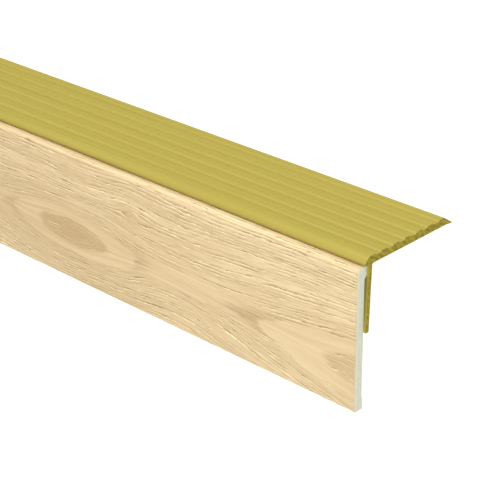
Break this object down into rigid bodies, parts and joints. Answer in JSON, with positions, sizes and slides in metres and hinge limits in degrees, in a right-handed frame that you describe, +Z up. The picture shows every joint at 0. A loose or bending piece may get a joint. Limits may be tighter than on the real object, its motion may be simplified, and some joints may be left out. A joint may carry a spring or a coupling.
{
  "type": "stair nosing",
  "caption": "Straight length of ribbed gold-anodised aluminium stair nosing angle with an oak-effect vinyl riser strip held in front of its leg.",
  "frame": {"origin": "middle of the footprint, on the floor that the nosing lies on", "axes": "+X along the length, +Y from the strip's foot to the flange's rear tip, +Z up"},
  "size_m": [0.9, 0.0648, 0.0328],
  "materials": {
    "gold_anodised_aluminium": "satin gold anodised extrusion",
    "vinyl_core": "extruded rigid vinyl, sawn ends",
    "oak_decor_foil": "printed pale oak decor with embossed grain"
  },
  "bodies": {
    "root": {"nosing_angle": "gold_anodised_aluminium", "riser_strip": "vinyl_core", "oak_foil": "oak_decor_foil"}
  },
  "joints": []
}
